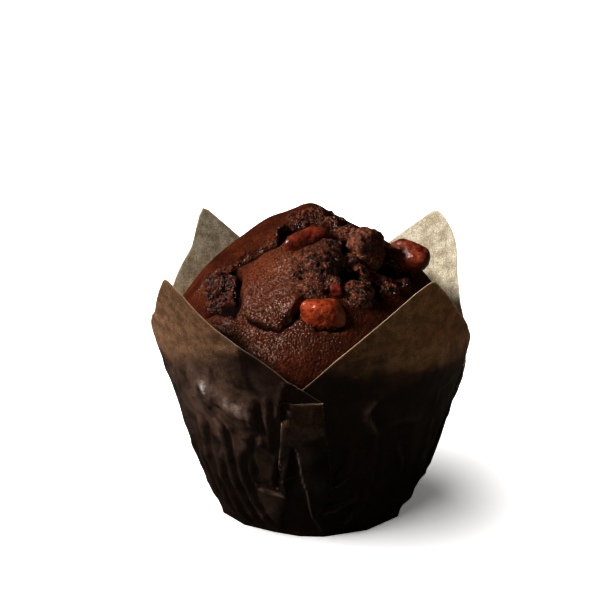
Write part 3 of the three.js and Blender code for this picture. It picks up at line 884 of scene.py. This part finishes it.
def make_wrapper(material):
    """One folded sheet as two matching skins joined at the rim. Each skin is a grid of columns round the cup
    and rows up its slant, standing off the cone by its layer and its relief, with a flat creased floor."""
    azimuth, slant, layer, strip, top = sheet_layout(WALL_ROWS)
    count, rows = azimuth.shape
    settled = ease(3.0, 12.0, slant)
    groove = groove_share(azimuth, slant)
    relief = cup_relief(azimuth, slant) - groove * (1.25 + 0.5 * ease(10.0, 20.0, slant))
    # Low on the left side the layers lie closer to the crumb.
    hugging = 1.0 - 0.6 * ease(30.0, 18.0, np.abs(azimuth % 360.0 - 176.0)) * ease(44.0, 36.0, slant)
    relief = relief * hugging
    layer = layer * hugging
    lifted = ease(0.0, 3.5, slant)
    off = SEAT + LAYER_STEP * layer * settled + relief * lifted
    off = np.maximum(off, SEAT + LAYER_STEP * layer * settled - 0.1)
    angle = np.radians(azimuth)

    def skin(side):
        """Points of one skin: the cone's point moved along the cone's own normal."""
        out = off + side * PAPER_THICKNESS / 2
        radius = cup_radius(azimuth, slant) + out * np.cos(LEAN) * ease(-0.5, 2.0, slant)
        height = slant * np.cos(LEAN) - out * np.sin(LEAN) * ease(1.0, 6.0, slant)
        height = height + (PAPER_THICKNESS if side < 0 else 0.0) * (1.0 - ease(0.0, 1.0, slant))
        return np.stack([radius * np.cos(angle), radius * np.sin(angle), np.maximum(height, 0.0)], -1)

    shares = 1.0 - (np.arange(1, FLOOR_RINGS) / FLOOR_RINGS)
    outer, inner = skin(1.0), skin(-1.0)
    floor = [outer[:, 0, :] * (s, s, 1.0) for s in shares]
    lid = [inner[:, 0, :] * (s, s, 1.0) for s in shares]
    around = np.concatenate([np.stack(floor[::-1], 1), outer, inner[:, ::-1, :], np.stack(lid, 1)], axis=1)
    length = around.shape[1]
    base = around.reshape(-1, 3)
    poles = np.array([[0.0, 0.0, 0.0], [0.0, 0.0, PAPER_THICKNESS]])
    points = np.concatenate([base, poles])
    first = np.arange(count) * length
    next_first = np.roll(first, -1)
    low, high = np.meshgrid(first, np.arange(length - 1), indexing="ij")
    low_next, _ = np.meshgrid(next_first, np.arange(length - 1), indexing="ij")
    quads = np.stack([low + high, low_next + high, low_next + high + 1, low + high + 1], -1).reshape(-1, 4)
    bottom = np.stack([np.full(count, len(base)), next_first, first], -1)
    cap = np.stack([np.full(count, len(base) + 1), first + length - 1, next_first + length - 1], -1)

    rings = FLOOR_RINGS - 1
    # Paler near the cut rim, and painted highlights along the fold edges and the flap's turned edges.
    near_rim = 0.55 * np.exp(-(top[:, None] - slant) / 0.16)
    fold_highlight = fold_highlight_share(azimuth, slant)
    flap = strip == 1
    turning = np.roll(strip, 1) != strip
    flap_edge = (turning & ((strip == 1) | (strip == 2)))[:, None] * ease(13.0, 16.0, slant)
    fold_highlight += 0.1 * flap_edge
    cut_edge_and_fold_highlight = np.clip(near_rim + fold_highlight, 0.0, 1.0)
    matt = np.where((flap | turning)[:, None], 0.8 * ease(12.0, 18.0, slant), 0.0)

    soak = soaked_share(azimuth, slant, flap)
    # Half-soaked patches on the outside, partly a painted sheen.
    half = half_soak_and_sheen_share(azimuth, slant) * ~flap[:, None]

    def both(outer_values, inner_values):
        zeros = np.zeros((count, rings))
        stacked = np.concatenate([
            zeros + outer_values[:, :1], outer_values, inner_values[:, ::-1], zeros + inner_values[:, :1]
        ], axis=1)
        return np.concatenate([stacked.ravel(), [outer_values[0, 0], inner_values[0, 0]]])

    ones, zeros = np.ones_like(slant), np.zeros_like(slant)
    attributes = {
        "inner": both(zeros, ones),
        "soak": both(soak, soak),
        "half": both(half, zeros),
        "cut_edge_and_fold_highlight": both(cut_edge_and_fold_highlight, near_rim),
        "matt": both(matt, zeros),
    }
    triangles = np.concatenate([bottom, cap])
    return make_mesh("tulip_paper", points, quads, material, attributes, triangles)


# Half-soaked patches, grey-brown paper that also paints the sheen of the wet paper there: azimuth, slant
# height, half width and half height in millimetres, and strength.
HALF_SOAK_AND_SHEEN = [
    (-138.0, 42.0, 14.0, 11.0, 1.0), (-120.0, 39.0, 9.0, 9.0, 0.9), (-112.0, 8.0, 5.0, 6.0, 0.35),
    (-130.0, 24.0, 14.0, 9.0, 0.3),
    (-68.0, 30.0, 5.0, 10.0, 0.25), (60.0, 42.0, 12.0, 8.0, 0.6), (140.0, 40.0, 10.0, 9.0, 0.6),
]

# The height that the fat has reached, as azimuth and slant height.
SOAK_LINE = [
    (-180.0, 49.5), (-155.0, 47.6), (-140.0, 50.6), (-126.0, 53.5), (-116.0, 56.0), (-110.0, 61.0),
    (-97.0, 59.0), (-88.0, 53.5), (-72.0, 51.8), (-56.0, 52.0), (-42.0, 50.0), (-30.0, 45.5),
    (-10.0, 47.0), (30.0, 51.0), (60.0, 48.5), (85.0, 51.5), (120.0, 50.5), (150.0, 47.5), (180.0, 49.5),
]


def soaked_share(azimuth, slant, flap):
    """How much fat has soaked into the sheet: full low down, fading at the soak line, less on the flaps."""
    knots = np.array(SOAK_LINE)
    line = np.interp(turn_from(0.0, azimuth), knots[:, 0], knots[:, 1])
    share = 1.0 - ease(-9.0, 6.0, slant - line)
    on_flap = share * (0.4 + 0.6 * (1.0 - ease(20.0, 40.0, slant)))
    return np.where(flap[:, None], on_flap, share)


def half_soak_and_sheen_share(azimuth, slant):
    """Where the fat has only half soaked in and the sheet stays grey-brown, which also paints the wet paper's
    sheen: soft patches on the panels.
    """
    share = np.zeros_like(slant)
    for middle, height, across, up, strength in HALF_SOAK_AND_SHEEN:
        share += dent(azimuth, slant, (middle, height), strength, across, up)
    return np.clip(share, 0.0, 1.0)


# ---- The crumb ----

def crust_height(x, y):
    """Height of the plain crust over a point, before it is torn: a pointed dome with broad swellings."""
    edge = BASE_RADIUS + CRUST_EDGE * np.tan(LEAN) - CRUMB_SEAT / np.cos(LEAN)
    share = np.hypot(x, y) / edge
    dome = CRUST_EDGE + DOME_RISE - DOME_FALL * share ** 1.7 - SHOULDER_FALL * share ** 6
    fade = np.clip(1.0 - share ** 4, 0.0, 1.0)
    for at_x, at_y, rise, width in SWELLINGS:
        dome = dome + fade * rise * np.exp(-((x - at_x) ** 2 + (y - at_y) ** 2) / width ** 2)
    return dome


def depth_along(along, depths):
    """How deep a groove is, from its depth at each point of its path."""
    return np.interp(along, np.arange(len(depths)), depths)


def torn_height(x, y):
    """What the split and the torn edges take from the crust or add to it, and how open the crumb is there."""
    spot = np.stack([x, y, np.zeros_like(x)], -1).reshape(-1, 3)
    x = x + 0.45 * lattice_noise(spot, 2.2, 41).reshape(x.shape)
    y = y + 0.45 * lattice_noise(spot, 2.2, 42).reshape(y.shape)
    distance, along = path_distance(x, y, SPLIT)
    depth = depth_along(along, SPLIT_DEPTH)
    upper = np.clip(distance, 0.0, None)
    lower = np.clip(-distance, 0.0, None)
    lip = 0.45 * depth * np.exp(-upper / 4.5) * ease(0.0, 0.4, upper)
    trench = -depth * np.exp(-((lower / 1.3) ** 2)) * ease(-0.05, 0.3, lower)
    offset = np.where(distance >= 0, lip, trench)
    open_crumb = ease(0.15, 0.0, distance) * ease(1.7, 1.0, lower) * ease(0.2, 1.2, depth)
    step_distance, step_along = path_distance(x, y, TONGUE_STEP)
    bold = ease(-0.8, 1.4, step_along)
    raised = np.exp(-np.clip(step_distance, 0.0, None) / 4.0)
    offset = offset + bold * 1.9 * ease(-0.1, 0.15, step_distance) * raised
    offset = offset - 1.8 * bold * np.exp(-((step_distance + 0.5) / 0.5) ** 2)
    side, side_along = path_distance(x, y, TONGUE_SIDE)
    offset = offset - depth_along(side_along, TONGUE_SIDE_DEPTH) * np.exp(-((side + 0.7) / 0.75) ** 2)
    offset = offset + 0.7 * ease(-0.2, 0.3, side) * np.exp(-np.clip(side, 0.0, None) / 3.5)
    gap, gap_along = path_distance(x, y, CHUNK_GAP)
    offset = offset - depth_along(gap_along, CHUNK_GAP_DEPTH) * np.exp(-(gap / 0.85) ** 2)
    crack, _ = path_distance(x, y, TONGUE_CRACK)
    offset = offset - 0.7 * np.exp(-(crack / 0.3) ** 2)
    return offset, open_crumb


def ellipsoid_distance(points, centre, size):
    """Nearly the distance to an ellipsoid: its scaled radius less one, over the length of its gradient."""
    off = points - np.array(centre, np.float32)
    scaled = np.sqrt(((off / size) ** 2).sum(-1))
    steep = np.sqrt(((off / np.square(size)) ** 2).sum(-1))
    return scaled * (scaled - 1.0) / np.maximum(steep, 1e-4)


def smooth_less(a, b, soft):
    """The smaller of two distances, rounded where they cross."""
    share = np.clip(0.5 + 0.5 * (b - a) / soft, 0.0, 1.0)
    return b + (a - b) * share - soft * share * (1.0 - share)


def voxel_axes():
    """Where the voxels' centres lie on each axis: close in front and above, and coarse where hidden."""
    across = np.arange(-VOXEL_REACH, VOXEL_REACH + FINE, FINE)
    front = np.arange(-VOXEL_REACH, BACK_FROM, FINE)
    back = np.arange(BACK_FROM, VOXEL_REACH + BACK_STEP, BACK_STEP)
    hidden = np.arange(VOXEL_BOTTOM, HIDDEN_BELOW, HIDDEN_STEP)
    above = np.arange(HIDDEN_BELOW, VOXEL_TOP, FINE)
    return [across, np.concatenate([front, back]), np.concatenate([hidden, above])]


def crumb_texture(points, rough):
    """Fine relief: gentle waves and pebbles on the crust, and clustered grains with pits on open crumb."""
    wave = 0.25 * lattice_noise(points, 8.0, 31) + 0.07 * lattice_noise(points, 3.1, 32)
    pebble = 0.03 * lattice_noise(points, 1.3, 33) + 0.04 * lattice_noise(points, 0.8, 34)
    relief = wave + pebble
    open_at = np.flatnonzero(rough > 0.02)
    some = points[open_at]
    coarse = 0.6 * (0.3 - grain_distance(some, 2.6, 35) ** 2)
    fine = 0.55 * (0.3 - grain_distance(some, 1.2, 36) ** 2)
    pits = -1.0 * ease(0.38, 0.18, grain_distance(some, 1.9, 39))
    ragged = 0.75 * lattice_noise(some, 3.0, 37)
    relief[open_at] += rough[open_at] * (coarse + fine + pits + ragged)
    return relief


def near_ellipsoid(points, centre, size):
    """Which points are close to an ellipsoid, and how far from it they are."""
    centre, size = np.array(centre, np.float32), np.array(size, np.float32)
    near = np.flatnonzero((np.abs(points - centre) < size + 1.5).all(1))
    return near, ellipsoid_distance(points[near], centre, size)


def lump_share(points):
    """How open the crumb is at each point, from the lumps and hollows whose surface is near."""
    share = np.zeros(len(points), np.float32)
    for centre, size, rough in LUMPS:
        near, distance = near_ellipsoid(points, centre, size)
        share[near] = np.maximum(share[near], rough * ease(1.0, 0.2, distance))
    for centre, size in HOLLOWS:
        near, distance = near_ellipsoid(points, centre, size)
        share[near] = np.maximum(share[near], ease(0.6, -0.1, distance))
    return share


def crumb_field(axes):
    """A distance field over the voxels: the dome and the wall, joined with the lumps, less the hollows.
    Also gives how open the torn crumb is over the plan."""
    x, y = np.meshgrid(axes[0], axes[1], indexing="ij")
    z = axes[2].astype(np.float32)
    torn, open_crumb = torn_height(x, y)
    plain = crust_height(x, y)
    across, along = np.gradient(plain, axes[0], axes[1])
    steep = np.sqrt(1.0 + across ** 2 + along ** 2).astype(np.float32)
    dome = (z[None, None, :] - (plain + torn)[:, :, None].astype(np.float32)) / steep[:, :, None]
    fade = np.clip(1.0 - z / np.cos(LEAN) / BASE_CREASE_HEIGHT, 0.0, 1.0) ** 2
    pull = (BASE_RADIUS - base_outline(np.degrees(np.arctan2(y, x)))).astype(np.float32)
    drawn_in = CRUMB_SEAT + 1.6 * ease(44.5, 40.0, z)
    wall = np.hypot(x, y)[:, :, None] + fade * pull[:, :, None] - (BASE_RADIUS + z * np.tan(LEAN) - drawn_in)
    wall = (wall * np.cos(LEAN)).astype(np.float32)
    field = -smooth_less(-dome, -wall, RIM_ROUNDING)
    for centre, size, _ in LUMPS:
        carve(field, axes, centre, size, lambda old, new: smooth_less(old, new, LUMP_ROUNDING))
    for centre, size in HOLLOWS:
        carve(field, axes, centre, size, lambda old, new: -smooth_less(-old, new, HOLLOW_ROUNDING))
    return np.maximum(field, (CRUMB_BOTTOM - z)[None, None, :]), open_crumb


def crumb_attributes(found):
    """What the material reads at each point: open crumb, painted shade from the depth below the plain crust
    and low down by the rim, glaze and paleness.
    """
    at = found.astype(np.float32)
    x, y, z = found.T
    _, open_at = torn_height(x, y)
    rough = np.maximum(lump_share(at), open_at.astype(np.float32)) * (at[:, 2] > HIDDEN_BELOW)
    # Painted shade: darker the deeper a point lies below the plain crust, and darker low on the crust where
    # the paper rim shades it.
    hollow_shade = np.clip(crust_height(x, y) - z, 0.0, 6.0) * ease(38.0, 36.5, np.hypot(x, y))
    hollow_shade = hollow_shade + 0.65 * ease(54.0, 46.0, z)
    pale = np.exp(-(((at - PALE_AT) / PALE_REACH) ** 2).sum(1))
    from_step, _ = path_distance(x, y, TONGUE_STEP)
    from_side, _ = path_distance(x, y, TONGUE_SIDE)
    pale = pale * (0.25 + 0.75 * ease(-0.3, 0.4, from_step) * ease(-0.3, 0.4, from_side))
    return {"crumb": rough, "hollow_shade": hollow_shade, "gloss": glossy_share(at), "pale": pale}


def make_crumb(material):
    """The baked body as the zero level of its distance field, moved by the fine relief near the surface."""
    axes = voxel_axes()
    field, open_crumb = crumb_field(axes)
    band = np.flatnonzero((np.abs(field) < RELIEF_BAND).ravel())
    ix, iy, iz = np.unravel_index(band, field.shape)
    points = np.stack([axes[0][ix], axes[1][iy], axes[2].astype(np.float32)[iz]], -1).astype(np.float32)
    showing = points[:, 2] > HIDDEN_BELOW
    rough = np.zeros(len(points), np.float32)
    rough[showing] = np.maximum(lump_share(points[showing]), open_crumb[ix, iy][showing].astype(np.float32))
    relief = np.zeros(len(points), np.float32)
    relief[showing] = crumb_texture(points[showing], rough[showing])
    relief *= ease(HIDDEN_BELOW, HIDDEN_BELOW + 3.0, points[:, 2])
    field.ravel()[band] -= relief
    grid = openvdb.FloatGrid(FIELD_LIMIT)
    grid.copyFromArray(np.clip(field, -FIELD_LIMIT, FIELD_LIMIT).astype(np.float32), tolerance=0.0)
    found, _, quads = grid.convertToPolygons(isovalue=0.0, adaptivity=0.0)
    found = np.stack([np.interp(found[:, i], np.arange(len(axes[i])), axes[i]) for i in range(3)], -1)
    return make_mesh("baked_crumb", found, quads, material, crumb_attributes(found))


# Where fat has glazed the crust: centre, reach and strength.
GLAZE = [
    ((-12.0, -29.0, 55.5), (12.0, 7.0, 7.0), 0.95),
    ((-9.0, -24.0, 62.0), (7.0, 5.0, 4.0), 0.5),
    ((-19.0, -25.5, 57.0), (4.0, 3.0, 3.0), 0.9),
    ((-5.2, -20.2, 68.4), (2.8, 3.0, 3.2), 1.4),
    ((1.0, -20.0, 69.0), (6.0, 5.0, 5.0), 0.8),
    ((5.0, -31.0, 54.0), (10.0, 6.0, 5.0), 0.3),
    ((-26.0, -10.0, 61.0), (5.0, 3.0, 3.0), 0.8),
    ((10.0, 28.0, 56.0), (14.0, 7.0, 6.0), 0.6),
    ((-24.0, 18.0, 56.0), (8.0, 9.0, 7.0), 0.4),
]


def glossy_share(points):
    """How much the crust is glazed at each point: a sum of soft patches."""
    share = np.zeros(len(points))
    for centre, reach, strength in GLAZE:
        share += strength * np.exp(-(((points - centre) / reach) ** 2).sum(1))
    return np.clip(share, 0.0, 1.0)


def carve(field, axes, centre, size, join):
    """Joins one ellipsoid into the field, only in the block of voxels around it."""
    reach = 3.0
    block = []
    for i in range(3):
        first = np.searchsorted(axes[i], centre[i] - size[i] - reach)
        last = np.searchsorted(axes[i], centre[i] + size[i] + reach)
        block.append(slice(first, last))
    grid = np.stack(np.meshgrid(*[axes[i][block[i]] for i in range(3)], indexing="ij"), -1).astype(np.float32)
    new = ellipsoid_distance(grid, centre, np.array(size, np.float32))
    field[tuple(block)] = join(field[tuple(block)], new)


# ---- Nuts and chocolate ----

def turn_matrix(turn, tip, roll):
    """Roll about Y, tip about X, then turn about Z, in degrees."""
    a, b, c = np.radians(turn), np.radians(tip), np.radians(roll)
    about_y = np.array([[np.cos(c), 0, np.sin(c)], [0, 1, 0], [-np.sin(c), 0, np.cos(c)]])
    about_z = np.array([[np.cos(a), -np.sin(a), 0], [np.sin(a), np.cos(a), 0], [0, 0, 1]])
    about_x = np.array([[1, 0, 0], [0, np.cos(b), -np.sin(b)], [0, np.sin(b), np.cos(b)]])
    return about_z @ about_x @ about_y


LUMP_ROWS = 56
LUMP_COLUMNS = 88

# Outward directions of the six sides of a lump's block, none quite square to the next.
BLOCK_SIDES = np.array([
    (1.0, 0.1, 0.15), (-1.0, 0.0, -0.1), (0.05, 1.0, 0.0),
    (0.0, -1.0, 0.15), (0.1, 0.1, 1.0), (-0.05, 0.0, -1.0),
])


def chip_radius(directions, seed, flats, bluntness, block):
    """Radius of a chipped lump: the soft nearest of six block sides and some random planes around it."""
    random = np.random.default_rng(seed)
    normals = np.concatenate([BLOCK_SIDES, random.normal(size=(flats, 3))])
    normals /= np.linalg.norm(normals, axis=1)[:, None]
    distances = np.concatenate([np.full(6, block), random.uniform(0.86, 1.06, flats)])
    facing = np.clip(directions @ normals.T, 0.0, None) / distances
    return 1.06 / np.maximum((facing ** bluntness).sum(1) ** (1.0 / bluntness), 0.8)


def make_lump(name, at, size, turn, tip, seed, material, flats=14, bluntness=9.0, ripple=0.2, marks=None,
              block=0.98, roll=0.0):
    """A closed grid of directions, rows from pole to pole and columns around, each pushed out to the chipped
    radius, stretched to size, rippled by noise, then tipped, turned and set in place."""
    rows, columns = LUMP_ROWS, LUMP_COLUMNS
    down = np.linspace(0.0, np.pi, rows + 1)[1:-1]
    around = np.arange(columns) * 2 * np.pi / columns
    v, u = np.meshgrid(down, around, indexing="ij")
    ring = np.stack([np.sin(v) * np.cos(u), np.sin(v) * np.sin(u), np.cos(v)], -1).reshape(-1, 3)
    directions = np.concatenate([ring, [[0, 0, 1], [0, 0, -1]]])
    chipped = directions * chip_radius(directions, seed, flats, bluntness, block)[:, None]
    low, high = chipped.min(0), chipped.max(0)
    local = (2.0 * chipped - low - high) / (high - low) * np.array(size)
    seen = (local + 40.0 + 10.0 * seed).astype(np.float32)
    relief = ripple * (lattice_noise(seen, 2.2, seed) + 0.5 * lattice_noise(seen, 0.9, seed + 1))
    attributes = {"broken": np.zeros(len(local)), "coat": np.zeros(len(local))}
    if marks:
        attributes.update(marks(local / np.array(size), seen))
    coat = attributes["coat"].astype(np.float32)
    grains = 0.7 * (0.3 - grain_distance(seen, 1.7, seed + 2) ** 2)
    grains += 0.45 * (0.3 - grain_distance(seen, 0.95, seed + 3) ** 2)
    grains -= 0.6 * ease(0.36, 0.18, grain_distance(seen, 1.5, seed + 4))
    local = local + directions * (relief + coat * grains)[:, None]
    points = local @ turn_matrix(turn, tip, roll).T + np.array(at)
    inner_rows = rows - 1
    index = np.arange(inner_rows * columns).reshape(inner_rows, columns)
    right = np.roll(index, -1, axis=1)
    quads = np.stack([index[:-1], index[1:], right[1:], right[:-1]], -1).reshape(-1, 4)
    top = np.stack([np.full(columns, len(ring)), index[0], right[0]], -1)
    bottom = np.stack([np.full(columns, len(ring) + 1), right[-1], index[-1]], -1)
    return make_mesh(name, points, quads, material, attributes, np.concatenate([top, bottom]))


def front_nut_marks(unit, seen):
    """A broken right end and crumbs stuck along the underside."""
    broken = ease(0.55, 0.8, unit[:, 0] + 0.1 * lattice_noise(seen, 1.2, 61))
    coat = ease(-0.45, -0.75, unit[:, 2] + 0.25 * lattice_noise(seen, 1.4, 62))
    return {"broken": 0.6 * broken, "coat": coat}


def right_nut_marks(unit, seen):
    """Crumb baked onto the left end and the underside."""
    side = unit[:, 0] + 0.35 * unit[:, 2] + 0.3 * lattice_noise(seen, 2.0, 63)
    return {"coat": ease(-0.4, -0.7, side)}


def upper_nut_marks(unit, seen):
    """Crumb all over, but for a bare patch at the upper right."""
    bare = ease(0.6, 0.85, unit[:, 0] + 0.4 * unit[:, 2] + 0.25 * lattice_noise(seen, 1.6, 64))
    return {"coat": 1.0 - 0.7 * bare}


def chunk_marks(unit, seen):
    """Crumbs stuck in patches."""
    return {"coat": 0.35 + 0.65 * ease(-0.1, 0.3, lattice_noise(seen, 2.4, 66))}


def hidden_nut_marks(unit, seen):
    """Crumb baked onto the underside."""
    return {"coat": ease(0.1, -0.5, unit[:, 2] + 0.4 * lattice_noise(seen, 2.0, 65))}


# Nut skins: dark and light tones, broken flesh, roughness and polish.
NUT_SKINS = {
    "orange nut": ((0.2, 0.024, 0.006), (0.52, 0.102, 0.027), (0.4, 0.16, 0.075), 0.4, 0.35),
    "red-brown nut": ((0.1, 0.012, 0.0035), (0.33, 0.062, 0.02), (0.34, 0.13, 0.06), 0.34, 0.8),
    # A darker copy of the red-brown skin: painted shade for the split nut and the sliver, which sit in
    # shadow.
    "red nut in painted shade": ((0.1, 0.012, 0.004), (0.27, 0.045, 0.015), (0.3, 0.11, 0.05), 0.34, 0.6),
}


def make_inclusions():
    """Every nut and chocolate chunk, by the node that it replaces."""
    # The third material is the red skin darkened as painted shade, for the split nut and the sliver.
    warm, red, painted_shade = [nut_material(name, *skin) for name, skin in NUT_SKINS.items()]
    dark = chocolate_material()
    return {
        "nut_front": make_lump("front_nut", (2.6, -28.3, 59.5), (5.4, 3.6, 3.8), -4, 8, 71, warm,
                               flats=10, bluntness=4.2, ripple=0.24, marks=front_nut_marks, block=0.92),
        "nut_right": make_lump("right_nut", (24.3, -6.0, 67.0), (5.7, 4.0, 4.0), -26, -25, 72, red,
                               bluntness=5.5, ripple=0.26, marks=right_nut_marks),
        "nut_crack": make_lump("split_nut", (-1.4, -12.2, 72.9), (6.0, 2.9, 3.3), 17, 0, 73, painted_shade,
                               flats=14, bluntness=3.6, ripple=0.2, block=1.1, roll=-22.0),
        "nut_upper": make_lump("upper_nut", (13.2, -10.8, 69.8), (5.0, 4.7, 5.9), 30, 0, 74, red,
                               flats=16, bluntness=5.0, ripple=0.4, marks=upper_nut_marks),
        "nut_sliver": make_lump("nut_sliver_piece", (5.6, -24.6, 64.2), (1.5, 1.9, 1.6), 0, 20, 75, painted_shade,
                                flats=8, bluntness=6.0, ripple=0.1),
        "nut_back_left": make_lump("back_left_nut", (-6.5, 26.5, 62.2), (5.0, 3.6, 3.4), -35, -12, 76, warm,
                                   marks=hidden_nut_marks),
        "nut_back_right": make_lump("back_right_nut", (10.0, 27.5, 60.0), (4.7, 3.6, 3.4), 20, -15, 77, red,
                                    marks=hidden_nut_marks),
        "chunk_left": make_lump("left_chunk", (-21.4, -15.4, 60.0), (4.4, 3.8, 5.4), -18, -6, 78, dark,
                                flats=5, bluntness=12.0, ripple=0.5, marks=chunk_marks, block=0.88),
        "chunk_back": make_lump("back_chunk", (-18.0, 26.5, 55.6), (3.9, 3.6, 3.6), -30, 0, 79, dark,
                                flats=12, bluntness=7.0, ripple=0.4, marks=chunk_marks),
    }


# ---- Putting it together ----

def settle(piece, node):
    """Ties a piece to the frame: it rides on the one body and stands for its node, which is hidden."""
    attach(piece, "root")
    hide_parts(node)


def make_floor():
    """A large flat square under the muffin."""
    side = FLOOR_HALF_SIDE
    corners = np.array([[-side, -side, 0.0], [side, -side, 0.0], [side, side, 0.0], [-side, side, 0.0]])
    floor = make_mesh("floor", corners, [[0, 1, 2, 3]], floor_material())
    return floor


def add_soft_light(name, direction, strength, spread, lit, colour=LAMP_COLOUR):
    """A sun lamp from one direction, as wide as its spread in degrees, that lights only the given pieces."""
    data = bpy.data.lights.new(name, "SUN")
    data.energy = strength
    data.angle = np.radians(spread)
    data.color = colour
    light = bpy.data.objects.new(name, data)
    bpy.context.scene.collection.objects.link(light)
    away = Vector(direction).normalized()
    light.location = away
    light.rotation_euler = away.to_track_quat("Z", "Y").to_euler()
    receivers = bpy.data.collections.new(name + " receivers")
    for piece in lit:
        receivers.objects.link(piece)
    light.light_linking.receiver_collection = receivers


def make_lights(muffin, floor):
    """A key light high on the left, a very broad one for the table, two weak ones for the paper alone, and a
    faint room that looks white to the camera."""
    add_soft_light("key from the left", (-0.8, -0.22, 0.62), 5.8, 16.0, muffin)
    add_soft_light("light on the table", (-0.62, -0.05, 0.78), 3.6, 95.0, [floor], (1.0, 1.0, 1.0))
    add_soft_light("light into the petals", (0.3, -0.1, 0.95), 2.0, 30.0, [muffin[0]])
    add_soft_light("light on the paper from behind", (0.3, 0.9, 0.2), 1.2, 50.0, [muffin[0]])
    world = bpy.data.worlds.new("soft room")
    world.use_nodes = True
    make = Shader(world.node_tree)
    seen = make.add("ShaderNodeLightPath").outputs["Is Camera Ray"]
    make.fill(world.node_tree.nodes["Background"], {
        "Color": rgb(*ROOM_COLOUR),
        "Strength": make.times_plus(seen, ROOM_SEEN, ROOM_LIGHT),
    })
    bpy.context.scene.world = world


def make_camera():
    """The camera in front of the muffin, looking down on it a little."""
    data = bpy.data.cameras.new("camera")
    data.lens = CAMERA_LENS
    data.sensor_width = CAMERA_SENSOR
    camera = bpy.data.objects.new("camera", data)
    bpy.context.scene.collection.objects.link(camera)
    back = Vector((0.0, -np.cos(CAMERA_ELEVATION), np.sin(CAMERA_ELEVATION)))
    camera.location = Vector(CAMERA_AIM) + back * CAMERA_DISTANCE
    camera.rotation_euler = back.to_track_quat("Z", "Y").to_euler()
    bpy.context.scene.camera = camera


make_camera()
wrapper = make_wrapper(paper_material())
settle(wrapper, "wrapper")
crumb = make_crumb(crumb_material())
settle(crumb, "crumb")
muffin = [wrapper, crumb]
for node, piece in make_inclusions().items():
    settle(piece, node)
    muffin.append(piece)
make_lights(muffin, make_floor())
bpy.context.scene.view_settings.view_transform = "Standard"
bpy.context.scene.view_settings.gamma = CONTRAST
